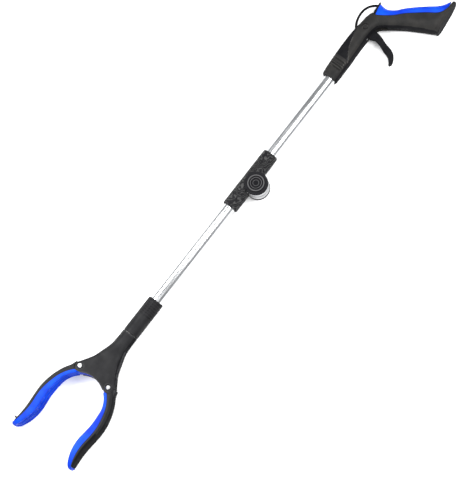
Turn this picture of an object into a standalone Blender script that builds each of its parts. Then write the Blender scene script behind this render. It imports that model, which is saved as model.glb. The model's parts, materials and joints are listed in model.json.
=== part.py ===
"""A folding reacher grabber, lying on its side.

X runs along the tube from the jaws to the handle, Y across the tube towards the back of the hand, and Z is
up, through the tool's thickness. The fold axis, the jaw pivots and the trigger pivot are parallel to Z. Sizes
are in millimetres in the tool frame, whose zero is where the fold axis' X meets the tube's centre line and
mid-plane. add_mesh() turns them into metres, and the empty "tool" stands the tool on z = 0 with its footprint
centred.
"""

import math

import bmesh
import bpy
from mathutils import Vector

MM = 0.001
GAP = 0.3  # between pieces that touch on the real object
SPLIT = 0.15  # each half shell stops this far from the mid-plane

# Overall
HALF_THICKNESS = 15.2  # the tool lies on the jaws' and the grip's sides
FOOTPRINT_X = (-443.3, 358.0)
FOOTPRINT_Y = (-80.0, 55.7)

# Tubes and their pegs
TUBE_R = 8.0
TUBE_BORE = 7.0
PEG_R = 1.3

# Fold joint
FOLD_AXIS = (0.0, -11.5)
KNUCKLE_R = 15.6
CAP_R = 16.0
SLEEVE_CUT_R = 16.4
SLEEVE_R = 11.0
SLEEVE_END = 45.0
TONGUE_HALF = 5.0
CHEEK_FRONT = 8.5
CHEEK_BACK = -10.5
TUBE_START = 20.0
AXLE_R = 3.0
CABLE_GROOVE_R = 5.0

# Head
NECK_SLEEVE = (-257.2, -202.5)
MOUTH_CENTRE = -367.5
MOUTH_R = 36.0
PIVOT_X = -330.0
PIVOT_Y = 24.0
BOSS_R = 7.5
LINER_TIP = -438.5  # beyond this X the jaws are all liner
HEAD_HALF = 13.0
HEAD_ROOM = 9.7  # half the space between the two head shells
LEVER_HALF = 9.3
# The bridge between a jaw's hub and its shell, from the pivot
ROOT_OUTLINE = [(-6.0, 4.5), (-1.5, -1.0), (2.0, 5.0), (2.6, 8.6), (-5.5, 11.6)]
NOSE = (-323.0, 7.3)  # the pin on the upper jaw's lever
LEVER_PIN_R = 1.6
LEVER_ARM_HALF = 3.6
PIN_R = 2.0

# Handle
TRIGGER_PIVOT = (258.0, 2.2)
TRIGGER_ARM = 9.56
TRIGGER_SWING = 35.0
TRIGGER_SLOT = 5.2
SCREWS = [(228.0, 7.0), (274.0, 3.0), (296.0, -41.0), (324.0, -70.0)]

# Cable
CABLE_R = 0.8
CABLE_EXIT = 26.0  # where the cable leaves each tube's spigot towards the fold joint

# Where each body turns or slides, in the tool frame, and the body that carries it.
BODIES = {
    "handle": ((0, 0, 0), None),
    "trigger": ((*TRIGGER_PIVOT, 0), "handle"),
    "fold_button": ((*FOLD_AXIS, 12.0), "handle"),
    "upper_cable": ((200, 0, 0), "handle"),
    "lower_arm": ((*FOLD_AXIS, 0), "handle"),
    "lower_cable": ((-150, 0, 0), "lower_arm"),
    "head": ((-257.5, 0, 0), "lower_arm"),
    "puller": ((NOSE[0], 0, 0), "head"),
    "jaw_upper": ((PIVOT_X, PIVOT_Y, 0), "head"),
    "jaw_lower": ((PIVOT_X, -PIVOT_Y, 0), "head"),
}


# ---------------------------------------------------------------- tools

def clear_scene():
    for obj in list(bpy.data.objects):
        bpy.data.objects.remove(obj)


def make_material(name, color, roughness, metallic=0.0):
    material = bpy.data.materials.new(name)
    material.use_nodes = True
    shader = material.node_tree.nodes["Principled BSDF"]
    shader.inputs["Base Color"].default_value = (*color, 1.0)
    shader.inputs["Roughness"].default_value = roughness
    shader.inputs["Metallic"].default_value = metallic
    return material


def make_empties():
    """One empty for the tool and one on each body's joint axis."""
    tool = bpy.data.objects.new("tool", None)
    tool.location = Vector((-sum(FOOTPRINT_X) / 2, -sum(FOOTPRINT_Y) / 2, HALF_THICKNESS)) * MM
    bpy.context.scene.collection.objects.link(tool)
    empties = {None: tool}
    for body, (place, carrier) in BODIES.items():
        empty = bpy.data.objects.new("joint_" + body, None)
        start = Vector(BODIES[carrier][0]) if carrier else Vector()
        empty.location = (Vector(place) - start) * MM
        empty.parent = empties[carrier]
        bpy.context.scene.collection.objects.link(empty)
        empties[body] = empty
    return empties


def add_mesh(name, body, material, points, faces):
    """An object of one mesh. Points are in millimetres in the tool frame."""
    start = Vector(BODIES[body][0])
    work = bmesh.new()
    verts = [work.verts.new((Vector(p) - start) * MM) for p in points]
    for face in faces:
        work.faces.new([verts[i] for i in face])
    bmesh.ops.recalc_face_normals(work, faces=work.faces)
    mesh = bpy.data.meshes.new(name)
    work.to_mesh(mesh)
    work.free()
    mesh.shade_smooth()
    mesh.set_sharp_from_angle(angle=math.radians(35))
    obj = bpy.data.objects.new(name, mesh)
    obj.parent = EMPTIES[body]
    bpy.context.scene.collection.objects.link(obj)
    if material:
        mesh.materials.append(material)
    else:
        obj.hide_render = True
        obj.display_type = "WIRE"
    return obj


def loft(name, body, material, loops):
    """A closed skin over loops of equal length, capped at both ends."""
    count = len(loops[0])
    points = [p for loop in loops for p in loop]
    faces = [list(range(count)), list(range(len(points) - count, len(points)))]
    for row in range(len(loops) - 1):
        for i in range(count):
            j = (i + 1) % count
            here, there = row * count, (row + 1) * count
            faces.append([here + i, here + j, there + j, there + i])
    return add_mesh(name, body, material, points, faces)


def turned(name, body, material, profile, axis="X", centre=(0, 0, 0), steps=28, ring=False):
    """A turned solid. profile holds (distance along the axis, radius); a ring's profile is closed."""
    points, rows = [], []
    for along, radius in profile:
        turns = 1 if radius == 0 else steps
        row = []
        for k in range(turns):
            angle = 2 * math.pi * k / steps
            a, b = radius * math.cos(angle), radius * math.sin(angle)
            place = (along, a, b) if axis == "X" else (a, b, along)
            row.append(len(points))
            points.append(Vector(centre) + Vector(place))
        rows.append(row)
    faces = []
    pairs = list(zip(rows, rows[1:])) + ([(rows[-1], rows[0])] if ring else [])
    for low, high in pairs:
        for k in range(steps):
            after = k + 1
            quad = [low[k % len(low)], low[after % len(low)], high[after % len(high)], high[k % len(high)]]
            faces.append(list(dict.fromkeys(quad)))
    if not ring:
        faces += [row for row in (rows[0], rows[-1]) if len(row) > 1]
    return add_mesh(name, body, material, points, faces)


def rod(name, body, material, low, high, radius, axis="Z", centre=(0, 0), steps=24):
    """A plain cylinder between two distances along X or Z; centre is (x, y) for Z and (y, z) for X."""
    place = (*centre, 0) if axis == "Z" else (0, *centre)
    return turned(name, body, material, [(low, radius), (high, radius)], axis, place, steps)


def prism(name, body, material, outline, low, high):
    """An outline in X and Y, extruded from z = low to z = high."""
    return loft(name, body, material, [[(x, y, z) for x, y in outline] for z in (low, high)])


def block(name, body, material, x, y, z):
    outline = [(x[0], y[0]), (x[1], y[0]), (x[1], y[1]), (x[0], y[1])]
    return prism(name, body, material, outline, *z)


def combine(obj, operation, others):
    for other in others:
        modifier = obj.modifiers.new(operation.lower(), "BOOLEAN")
        modifier.operation = operation
        modifier.solver = "EXACT"
        modifier.object = other
    return obj


def cut(obj, *cutters):
    return combine(obj, "DIFFERENCE", cutters)


def join(obj, *others):
    return combine(obj, "UNION", others)


def weld_cut_pieces():
    """Closes the hairline slivers that the cuts leave where two cutters nearly meet."""
    for obj in bpy.data.objects:
        if obj.type == "MESH" and obj.modifiers and not obj.hide_render:
            obj.modifiers.new("weld", "WELD").merge_threshold = 0.02 * MM


def curve_point(p, q, r, s, t):
    """A value between q and r on a Catmull-Rom curve, at the share t."""
    slope = r - p
    bend = 2 * p - 5 * q + 4 * r - s
    twist = 3 * q - p - 3 * r + s
    return 0.5 * (2 * q + slope * t + bend * t**2 + twist * t**3)


def smooth_rows(rows, steps):
    """Rows of numbers, with steps - 1 rows put between each two on Catmull-Rom curves."""
    padded = [rows[0], *rows, rows[-1]]
    out = []
    for i in range(1, len(padded) - 2):
        before, a, b, after = padded[i - 1 : i + 3]
        for k in range(steps):
            out.append(tuple(curve_point(*four, k / steps) for four in zip(before, a, b, after)))
    return out + [tuple(rows[-1])]


def arc(centre, radius, start, end, steps):
    """Points on a circle between two angles in degrees."""
    angles = [math.radians(start + (end - start) * k / steps) for k in range(steps + 1)]
    return [(centre[0] + radius * math.cos(a), centre[1] + radius * math.sin(a)) for a in angles]


def between(start, end, share):
    return tuple(a + (b - a) * share for a, b in zip(start, end))


def coil(name, body, material, start, end, radius, wire, turns, axis="X", centre=(0, 0, 0), steps=12):
    """A helical spring from start to end along the axis."""
    loops = []
    count = int(turns * steps)
    for k in range(count + 1):
        angle = 2 * math.pi * turns * k / count
        along = start + (end - start) * k / count
        loop = []
        for j in range(5):
            around = 2 * math.pi * j / 5
            reach = radius + wire * math.cos(around)
            a, b = reach * math.cos(angle), reach * math.sin(angle)
            up = along + wire * math.sin(around)
            place = (up, a, b) if axis == "X" else (a, b, up)
            loop.append(Vector(centre) + Vector(place))
        loops.append(loop)
    return loft(name, body, material, loops)


def cord(name, body, material, points, radius, sides=8):
    """A round cord along points in the X-Y plane."""
    loops = []
    for i, point in enumerate(points):
        ahead = Vector(points[min(i + 1, len(points) - 1)]) - Vector(points[max(i - 1, 0)])
        ahead.normalize()
        across = Vector((-ahead.y, ahead.x))
        loop = []
        for j in range(sides):
            angle = 2 * math.pi * (j + 0.5) / sides
            offset = across * radius * math.cos(angle)
            loop.append((point[0] + offset.x, point[1] + offset.y, radius * math.sin(angle)))
        loops.append(loop)
    return loft(name, body, material, loops)


def section(front, back, half, peak=0.5, power=2.6, count=14):
    """A rounded closed loop from front to back in X and Y, widest (half each way in Z) at the share peak."""
    side = []
    for k in range(count + 1):
        share = 0.5 - 0.5 * math.cos(math.pi * k / count)
        reach = abs(share - peak) / (peak if share < peak else 1 - peak) if share != peak else 0
        z = half * max(0.0, 1 - reach**power) ** (1 / power)
        side.append((*between(front, back, share), z))
    return side + [(x, y, -z) for x, y, z in side[-1:0:-1] if z > 0]


def half_section(front, back, half, peak, side, power=2.6, count=11):
    """The part of a section on one side of the mid-plane; with peak 1 the back is left flat."""
    loop = [(*front, SPLIT * side)]
    for k in range(count + 1):
        share = 0.02 + 0.98 * (0.5 - 0.5 * math.cos(math.pi * k / count))
        reach = abs(share - peak) / (peak if share < peak else 1 - peak) if share != peak else 0
        z = min(half * max(0.0, 1 - reach**power) ** (1 / power), HALF_THICKNESS)
        loop.append((*between(front, back, share), side * max(z, 4 * SPLIT)))
    return loop + [(*back, SPLIT * side)]


# ---------------------------------------------------------------- tubes and cable

def tubes():
    """The two aluminium tubes and the pegs that hold their ends, put in from the tool's back."""
    ends = {
        "upper": ("handle", TUBE_START, 216.0, (38.0, 196.0)),
        "lower": ("lower_arm", -250.0, -TUBE_START, (-225.0, -38.0)),
    }
    for which, (body, low, high, peg_places) in ends.items():
        wall = [(low, TUBE_R), (high, TUBE_R), (high, TUBE_BORE), (low, TUBE_BORE)]
        tube = turned(which + "_tube", body, ALUMINIUM, wall, steps=40, ring=True)
        for k, x in enumerate(peg_places, 1):
            peg_end = 10.6
            rod(f"{which}_tube_peg_{k}", body, BLACK, -peg_end, -5.8, PEG_R, centre=(x, 0), steps=12)
            cut(tube, rod(f"cut_{which}_peg_{k}", body, None, -12, -5, PEG_R + GAP, centre=(x, 0), steps=12))


def cable_anchor():
    """The cable's end in the trigger at rest."""
    lean = math.radians(TRIGGER_SWING / 2)
    x, y = TRIGGER_PIVOT
    return (x - TRIGGER_ARM * math.sin(lean), y - TRIGGER_ARM * math.cos(lean))


def cable_height(x):
    """The Y of the upper cable's straight run at an X."""
    anchor = cable_anchor()
    return anchor[1] * (x - CABLE_EXIT) / (anchor[0] - 1.2 - CABLE_EXIT)


def cables():
    """The pull cable: a run in each tube, and the flexible stretch over the fold joint."""
    anchor = cable_anchor()
    run = [(CABLE_EXIT + GAP, 0), (anchor[0] - 1.2, anchor[1])]
    upper = cord("upper_cable_run", "upper_cable", CABLE, run, CABLE_R)
    join(upper, rod("cable_nipple", "upper_cable", None, -3.2, 3.2, 1.7, centre=anchor, steps=16))
    top = FOLD_AXIS[1] + CABLE_GROOVE_R + CABLE_R + GAP
    half = [(CABLE_EXIT, 0.0), (18.0, -0.6), (8.0, -3.9)]
    dip = smooth_rows(half + [(0.0, top)] + [(-x, y) for x, y in reversed(half)], 3)
    cord("fold_cable_bridge", "handle", CABLE, dip, CABLE_R)
    lower = cord("lower_cable_run", "lower_cable", CABLE, [(-CABLE_EXIT - GAP, 0), (-324.4, 0)], CABLE_R)
    ball = [(-326, 0), (-325.6, 1.2), (-324.6, 1.6), (-323.4, 1.6), (-322.6, 0.9), (-322.6, 0)]
    join(lower, turned("cable_ball", "lower_cable", None, ball, steps=16))


# ---------------------------------------------------------------- fold joint

def fold_tool(name, body, low, high, radius):
    """A cutter or core round the fold axis."""
    return rod(name, body, None, low, high, radius, centre=FOLD_AXIS, steps=36)


def hinge_half(name, body, side):
    """The metal half of the hinge in one sleeve: a block in the sleeve and a spigot in the tube."""
    block_r, spigot_r, spigot_end = 8.7, TUBE_BORE - GAP, 34.0
    step = TUBE_START - GAP
    profile = [(3.0, block_r), (step, block_r), (step, spigot_r), (spigot_end, spigot_r)]
    return turned(name, body, METAL, [(side * x, r) for x, r in profile], steps=32)


def cable_way(name, body, side):
    """The passage that lets the cable dip from the tube's middle to the hinge's groove."""
    run = [(side * 36, 0), (side * 22, 0), (side * 12, -2.6), (side * 4, -5.2)]
    return cord(name, body, None, run, 2.2)


def hinge():
    axle_hole = AXLE_R + GAP
    fork = hinge_half("hinge_fork", "handle", 1)
    room_half = TONGUE_HALF + GAP
    for word, low, high in (("front", room_half, CHEEK_FRONT), ("back", CHEEK_BACK, -room_half)):
        join(fork, fold_tool("cheek_" + word, "handle", low, high, KNUCKLE_R))
    cut(
        fork,
        fold_tool("cut_tongue_room", "handle", -room_half, room_half, KNUCKLE_R + 0.5),
        fold_tool("cut_fork_axle", "handle", -12, 12, axle_hole),
        cable_way("cut_fork_cable", "handle", 1),
    )
    tongue = hinge_half("hinge_tongue", "lower_arm", -1)
    for word, low, high in (("front", TONGUE_HALF, 12), ("back", -12, -TONGUE_HALF)):
        cut(tongue, fold_tool("cut_cheek_" + word, "lower_arm", low, high, CAP_R + 0.3))
    join(tongue, fold_tool("tongue_disc", "lower_arm", -TONGUE_HALF, TONGUE_HALF, KNUCKLE_R))
    half, floor, rim = 1.6, CABLE_GROOVE_R, 17.0
    groove = [(-half, floor), (half, floor), (half, rim), (-half, rim)]
    at = (*FOLD_AXIS, 0)
    groove_ring = turned("cut_cable_groove", "lower_arm", None, groove, "Z", at, 36, ring=True)
    cut(
        tongue,
        groove_ring,
        fold_tool("cut_tongue_axle", "lower_arm", -6, 6, axle_hole),
        cable_way("cut_tongue_cable", "lower_arm", -1),
    )


def sleeves():
    """The black covers on each side of the fold joint, cut round the knuckles."""
    edge = 1.2
    for name, body, side in (("upper_sleeve", "handle", 1), ("lower_sleeve", "lower_arm", -1)):
        outer = [(0.25, SLEEVE_R), (SLEEVE_END - edge, SLEEVE_R), (SLEEVE_END, SLEEVE_R - edge)]
        inner = [(SLEEVE_END, TUBE_R + GAP), (TUBE_START, TUBE_R + GAP), (TUBE_START, 9.0), (0.25, 9.0)]
        profile = [(side * x, r) for x, r in outer + inner]
        sleeve = turned(name, body, BLACK, profile, steps=40, ring=True)
        cut(
            sleeve,
            fold_tool("cut_knuckles_" + name, body, -16, 16, SLEEVE_CUT_R),
            rod("cut_peg_" + name, body, None, -12, -5, PEG_R + GAP, centre=(side * 38, 0), steps=12),
        )


def fold_button():
    """The front cap with its button and spring, the axle, and the back cap."""
    at = (*FOLD_AXIS, 0)
    button_r, cap_floor, cap_front = 11.6, CHEEK_FRONT + GAP, 13.2
    front = [(cap_floor, 3.4), (cap_floor, CAP_R), (cap_front - 0.8, CAP_R), (cap_front, CAP_R - 0.8),
             (cap_front, button_r + 0.4), (cap_floor + 1.0, button_r + 0.4), (cap_floor + 1.0, 3.4)]
    turned("fold_cap_front", "handle", BLACK, front, "Z", at, 36, ring=True)
    back = [(-13.8, 0), (-13.8, CAP_R - 0.8), (-13.0, CAP_R), (-10.8, CAP_R)]
    back += [(-10.8, 6.4), (-12.4, 6.4), (-12.4, 0)]
    turned("fold_cap_back", "handle", BLACK, back, "Z", at, 36)
    axle = [(-12.1, 0), (-12.1, 6.0), (-10.8, 6.0), (-10.8, AXLE_R)]
    axle += [(9.6, AXLE_R), (9.6, 1.9), (-7, 1.9), (-7, 0)]
    turned("fold_axle", "handle", METAL, axle, "Z", at, 24)
    top, under, stem_r = 14.4, 12.7, 1.5
    rings = [(top - 0.7, button_r), (top, button_r - 0.7), (top, 7.8), (top - 0.5, 7.4), (top - 0.5, 0)]
    body = [(-4, 0), (-4, stem_r), (under + 0.3, stem_r), (under + 0.3, 6.2)]
    body += [(under - 0.4, 6.6), (under - 0.4, button_r)]
    turned("fold_button_cap", "fold_button", BLACK, body + rings, "Z", at, 32)
    coil("fold_button_spring", "handle", STEEL, cap_floor + 1.4, under - 0.1, 4.6, 0.3, 2.5, "Z", at, 12)


# ---------------------------------------------------------------- head

def neck():
    """The ribbed sleeve on the lower tube, and the bush that the head swivels on."""
    low, high = NECK_SLEEVE
    outer = [(low, SLEEVE_R - 0.3), (low + 0.5, SLEEVE_R)]
    rib_pitch, rib_depth, ribs = 3.6, 0.7, 6
    start = high - 2.0 - ribs * rib_pitch
    for k in range(ribs):
        x = start + k * rib_pitch
        outer += [(x, SLEEVE_R), (x + 0.8, SLEEVE_R - rib_depth), (x + 1.6, SLEEVE_R)]
    outer += [(high - 0.8, SLEEVE_R), (high, SLEEVE_R - 0.8)]
    inner = [(high, TUBE_R + GAP), (-250.3, TUBE_R + GAP), (-250.3, TUBE_R), (low, TUBE_R)]
    sleeve = turned("neck_sleeve", "lower_arm", BLACK, outer + inner, steps=24, ring=True)
    cut(sleeve, rod("cut_peg_neck", "lower_arm", None, -12, -5, PEG_R + GAP, centre=(-225, 0), steps=12))
    bush = [(-271.0, 9.5), (-267.0, 9.5), (-267.0, 7.6), (-250.6, 7.6)]
    bush += [(-250.6, 6.7), (-236.0, 6.7), (-236.0, 2.2), (-271.0, 2.2)]
    turned("swivel_bush", "lower_arm", NYLON, bush, steps=32, ring=True)


def head_outline():
    """The head's half width and half thickness along X, and how square its section is."""
    rows = [
        (-257.7, 11.0, 11.0, 2.0), (-270.0, 11.2, 11.1, 2.0), (-282.0, 12.0, 11.6, 2.2),
        (-294.0, 15.4, 12.3, 2.6), (-307.0, 19.8, 12.8, 3.4), (-316.0, 24.4, HEAD_HALF, 4.4),
        (-323.0, 28.9, HEAD_HALF, 5.0), (-328.0, 31.6, HEAD_HALF, 5.0), (-338.0, 32.4, HEAD_HALF, 5.0),
    ]
    return smooth_rows(rows, 2)


def head_half_loop(x, width, thickness, power, side, count=16):
    loop = [(x, -width, SPLIT * side)]
    for k in range(1, count):
        angle = math.pi * k / count
        y = -width * math.copysign(abs(math.cos(angle)) ** (2 / power), math.cos(angle))
        z = thickness * math.sin(angle) ** (2 / power)
        loop.append((x, y, side * max(z, 3 * SPLIT)))
    return loop + [(x, width, SPLIT * side)]


def head_room():
    """The space for the levers, the puller and the spring, between the head shells."""
    half = [(-296, 0.0), (-296, 6.5), (-306, 14.6), (-315, 19.6), (-321, 24.0), (-323.6, 27.4)]
    half += [(-322, 34.0), (-345, 40.0), (-345, 0.0)]
    outline = half + [(x, -y) for x, y in half[-2:0:-1]]
    return prism("cut_head_room", "head", None, outline, -HEAD_ROOM, HEAD_ROOM)


def boss_trim(sign, word):
    """Leaves the shells round outside each jaw pivot."""
    low, high = sorted((sign * 19.4, sign * 45.0))
    trim = block("cut_trim_" + word, "head", None, (-360, PIVOT_X), (low, high), (-20, 20))
    pivot = (PIVOT_X, sign * PIVOT_Y)
    return cut(trim, rod("boss_" + word, "head", None, -21, 21, BOSS_R, centre=pivot, steps=32))


def head_shells():
    groove = [(-271.4, 9.9), (-266.6, 9.9), (-266.6, 8.1), (-257, 8.1), (-257, 0), (-266, 0)]
    bush_room = turned("cut_bush_room", "head", None, [(-271.4, 0)] + groove[:4] + [(-257, 0)], steps=32)
    shared = [
        rod("cut_mouth", "head", None, -20, 20, MOUTH_R, centre=(MOUTH_CENTRE, 0), steps=72),
        boss_trim(1, "upper"), boss_trim(-1, "lower"), head_room(), bush_room,
        rod("cut_spring_way", "head", None, -300, -270, 3.0, "X", steps=16),
    ]
    pins = [("upper", 1), ("lower", -1)]
    for word, sign in pins:
        pivot = (PIVOT_X, sign * PIVOT_Y)
        shared.append(rod("cut_pin_" + word, "head", None, -20, 20, PIN_R + GAP, centre=pivot, steps=20))
    for name, side in (("head_shell_front", 1), ("head_shell_back", -1)):
        loops = [head_half_loop(*row, side) for row in head_outline()]
        shell = loft(name, "head", BLACK, loops)
        cut(shell, *shared)
        for word, sign in pins:
            place = (-284.0, sign * 6.9)
            if side < 0:
                cut(shell, rod(f"cut_screw_way_{word}", "head", None, -14, 1, 1.6, centre=place, steps=12),
                    rod(f"cut_screw_head_{word}", "head", None, -14, -7.6, 2.9, centre=place, steps=16))
            else:
                cut(shell, rod(f"cut_screw_hole_{word}", "head", None, -1, 7.4, 1.5, centre=place, steps=12))
    for word, sign in pins:
        screw = [(-9.4, 0), (-9.4, 2.3), (-7.9, 2.5), (-7.9, 1.2), (6.6, 1.2), (7.0, 0)]
        turned("head_screw_" + word, "head", STEEL, screw, "Z", (-284.0, sign * 6.9, 0), 12)
        head_r, over = 3.0, HEAD_HALF + GAP
        pin = [(-over - 1.2, 0), (-over - 1.2, 2.2), (-over - 0.4, head_r), (-over, head_r), (-over, PIN_R),
               (over, PIN_R), (over, head_r), (over + 0.4, head_r), (over + 1.2, 2.2), (over + 1.2, 0)]
        turned("jaw_pin_" + word, "head", STEEL, pin, "Z", (PIVOT_X, sign * PIVOT_Y, 0), 20)


def puller():
    """The brass crosshead on the cable's end. Its plates take the levers' pins in slots across the tool."""
    x, half, inner, outer, reach = NOSE[0], 3.8, LEVER_ARM_HALF + 0.4, 5.6, 14.8
    length = (x - half, x + half)
    crosshead = block("cable_puller", "puller", BRASS, length, (-4.6, 4.6), (-outer, outer))
    for word, side in (("front", 1), ("back", -1)):
        plate_z = sorted((side * inner, side * outer))
        join(crosshead, block("plate_" + word, "puller", None, length, (-reach, reach), plate_z))
    slot_half = LEVER_PIN_R + 0.3
    slot_x = (x - slot_half, x + slot_half)
    for word, side in (("upper", 1), ("lower", -1)):
        slot_y = sorted((side * 5.2, side * 13.2))
        cut(crosshead, block("cut_slot_" + word, "puller", None, slot_x, slot_y, (-7, 7)))
    room = [(x - 3.3, 0), (x - 3.3, 2.0), (x + 1.0, 2.0), (x + 1.0, 1.2), (x + 6, 1.2), (x + 6, 0)]
    cut(crosshead, turned("cut_ball_room", "puller", None, room, steps=16))
    coil("return_spring", "head", STEEL, x + half + 0.8, -297.0, 3.4, 0.4, 6.5, steps=12)


def jaw_rows():
    """The upper jaw from root to tip: inner and outer edge, half width, and the liner's share of it."""
    inner = arc((MOUTH_CENTRE, 0), MOUTH_R, 40, 88, 4)
    inner += [(-379.5, 36.9), (-391.5, 36.2), (-403.5, 34.9), (-414.1, 35.2), (-424.3, 37.2), (-432.4, 40.0)]
    inner += [(-438.4, 42.6), (-441.8, 44.8), (-443.2, 46.2)]
    outer = [(-326.0, 30.6), (-334.5, 35.8), (-344.5, 41.8), (-355.5, 46.4), (-367.5, 49.6)]
    outer += [(-379.9, 51.0), (-392.4, 50.4), (-404.4, 49.3), (-414.6, 48.7), (-423.9, 48.9), (-432.3, 49.6)]
    outer += [(-438.6, 50.2), (-441.9, 49.8), (-443.3, 48.6)]
    halves = [12.6, 12.7, 12.9, 13.2, 13.6, 14.2, 14.9, HALF_THICKNESS, HALF_THICKNESS]
    halves += [14.9, 13.8, 11.6, 8.4, 5.0]
    shares = [0.28, 0.32, 0.36, 0.41, 0.47, 0.56, 0.62, 0.62, 0.62, 0.64, 0.68, 0.78, 1.0, 1.0]
    rows = smooth_rows([(*p, *q, w, s) for p, q, w, s in zip(inner, outer, halves, shares)], 2)
    return [(*row[:4], min(row[4], HALF_THICKNESS), row[5] if row[0] > LINER_TIP else 1.0) for row in rows]


def jaw_shell_loop(row, sign):
    """The black jaw's section: flat against the liner, crowned on the outside."""
    inner, outer, half, share = row[0:2], row[2:4], row[4], row[5]
    start = share + GAP / math.dist(inner, outer)
    edge = [(1.0, start), (0.98, 0.84), (0.8, 0.96), (0.45, 1.0)]
    shape = edge + [(-u, v) for u, v in reversed(edge)]
    loop = [(*between(inner, outer, v), u * half) for u, v in shape]
    return [(x, sign * y, z) for x, y, z in loop]


def liner_loop(row, sign, sink):
    """The soft liner's section: a channel with raised borders, sunk by sink in its middle."""
    inner, outer, half, share = row[0:2], row[2:4], row[4], row[5]
    border = max(0.55, 1 - 3.2 / half)
    floor = min(sink / math.dist(inner, outer), share - 0.2)
    edge = [(1.0, 0.14), (0.93, 0.0), (border + 0.05, 0.0), (border, floor)]
    shape = edge + [(-u, v) for u, v in reversed(edge)] + [(-1.0, share), (1.0, share)]
    loop = [(*between(inner, outer, v), u * half) for u, v in shape]
    return [(x, sign * y, z) for x, y, z in loop]


def web(name, body, sign):
    """The thin inner end of the liner, which runs between the head shells to the middle of the mouth."""
    front, back = MOUTH_R + 0.5, MOUTH_R + 2.1
    loops = []
    for x, y in arc((0, 0), 1, 4.2, 44, 8):
        loop = []
        for radius, z in ((front, LEVER_HALF), (front, -LEVER_HALF), (back, -LEVER_HALF), (back, LEVER_HALF)):
            loop.append((MOUTH_CENTRE + radius * x, sign * radius * y, z))
        loops.append(loop)
    return loft(name, body, None, loops)


def grown(outline, distance):
    """An outline with each corner moved out from its middle."""
    middle = Vector([sum(c) / len(outline) for c in zip(*outline)])
    return [tuple(Vector(p) + (Vector(p) - middle).normalized() * distance) for p in outline]


def jaw(word, sign):
    """One black jaw with its hub and lever, and its liner, which is returned. The upper jaw's sign is 1."""
    body = "jaw_" + word
    rows = jaw_rows()
    pivot = (PIVOT_X, sign * PIVOT_Y)
    boss_room = []
    for side in (1, -1):
        low, high = sorted((side * LEVER_HALF, side * 20))
        name = f"cut_boss_{word}_{side}"
        boss_room.append(rod(name, body, None, low, high, BOSS_R + 0.7, centre=pivot, steps=32))
    backed = [row for row in rows if row[0] > LINER_TIP]
    shell = loft(body + "_shell", body, BLACK, [jaw_shell_loop(row, sign) for row in backed])
    hub = rod("hub_" + word, body, None, -LEVER_HALF, LEVER_HALF, 7.2, centre=pivot, steps=32)
    tip = (NOSE[0], sign * NOSE[1])
    start, end = Vector(pivot), Vector(tip)
    along = (end - start).normalized()
    across = Vector((along.y, -along.x))
    arm = [start + 3 * across, end + 2 * across, end - 2 * across, start - 3 * across]
    lever = prism("lever_" + word, body, None, arm, -LEVER_ARM_HALF, LEVER_ARM_HALF)
    nose = rod("nose_" + word, body, None, -LEVER_ARM_HALF, LEVER_ARM_HALF, 2.0, centre=tip, steps=20)
    pin = rod("lever_pin_" + word, body, None, -5.4, 5.4, LEVER_PIN_R, centre=tip, steps=16)
    root_outline = [(PIVOT_X + x, pivot[1] + sign * y) for x, y in ROOT_OUTLINE]
    root = prism("root_" + word, body, None, root_outline, -LEVER_HALF, LEVER_HALF)
    join(shell, hub, root, lever, nose, pin)
    cut(shell, *boss_room, rod("cut_bore_" + word, body, None, -20, 20, PIN_R + 0.4, centre=pivot, steps=24))
    sinks = [0.6, 0.9, 1.3, 1.7] + [2.2] * len(rows)
    liner = loft(body + "_liner", body, RUBBER, [liner_loop(row, sign, s) for row, s in zip(rows, sinks)])
    join(liner, web("web_" + word, body, sign))
    hub_room = rod("cut_hub_" + word, body, None, -20, 20, 7.2 + GAP, centre=pivot, steps=32)
    root_room = prism("cut_root_" + word, body, None, grown(root_outline, 0.6), -20, 20)
    cut(liner, *boss_room, hub_room, root_room)
    return liner


def tip_parts(lower_liner):
    """The forked hook on the upper jaw's tip and the magnet in the end of the lower jaw's tip."""
    wire, spread, length, x = 0.8, 2.6, 5.4, -433.4
    base = 50.0 + GAP
    foot = block("tip_hook", "jaw_upper", BLACK, (x - 3.4, x + 3.4), (base, base + 1.4), (-3.6, 3.6))
    for side in (1, -1):
        foot_y, end_y = base + 0.6, base + length
        prong = [(x + 0.8, foot_y), (x - 0.8, foot_y), (x - 0.2, end_y), (x + 1.4, end_y)]
        low, high = side * spread - wire, side * spread + wire
        join(foot, prism(f"prong_{side + 1}", "jaw_upper", None, prong, low, high))
    face, depth, radius, place = FOOTPRINT_X[0], 3.6, 1.5, (-47.4, 0)
    floor = face + depth + GAP
    cut(lower_liner, rod("cut_magnet", "jaw_lower", None, face - 2, floor, radius + GAP, "X", place, 20))
    rod("tip_magnet", "jaw_lower", STEEL, face, face + depth, radius, "X", place, 20)


# ---------------------------------------------------------------- handle

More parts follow.
